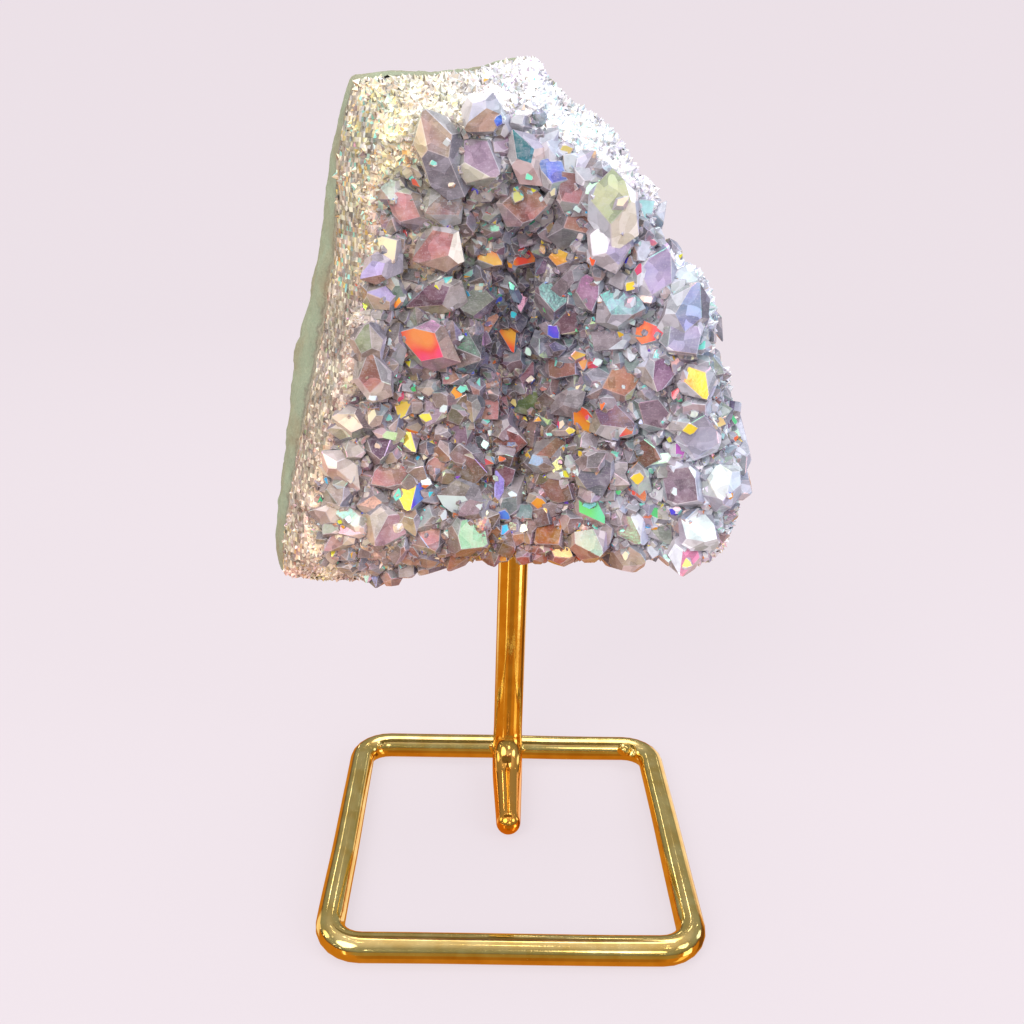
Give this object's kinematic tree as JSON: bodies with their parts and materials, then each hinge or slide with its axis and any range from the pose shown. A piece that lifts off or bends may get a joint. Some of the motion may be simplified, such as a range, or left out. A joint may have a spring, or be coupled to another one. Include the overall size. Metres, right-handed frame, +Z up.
{
  "type": "aura amethyst cluster on stand",
  "caption": "Slab of dark rock matrix faced with a crust of iridescent-coated amethyst points, held upright on a rod over a square ring of gilt wire.",
  "frame": {"origin": "under the middle of the whole object, on the surface that the ring rests on", "axes": "+Z up, -Y towards the crystal face, +X to the right of someone facing the crystals"},
  "size_m": [0.067, 0.0552, 0.1149],
  "materials": {
    "gilt_wire": "bright plated gold colour, polished",
    "rind": "dull grey-green weathered rock, brown towards the top",
    "aura_amethyst": "clear violet quartz with a thin iridescent metal coating, smooth facets"
  },
  "bodies": {
    "root": {"base_ring": "gilt_wire", "upright_rod": "gilt_wire", "rock_matrix": "rind", "crystal_crust": "aura_amethyst"}
  },
  "joints": []
}
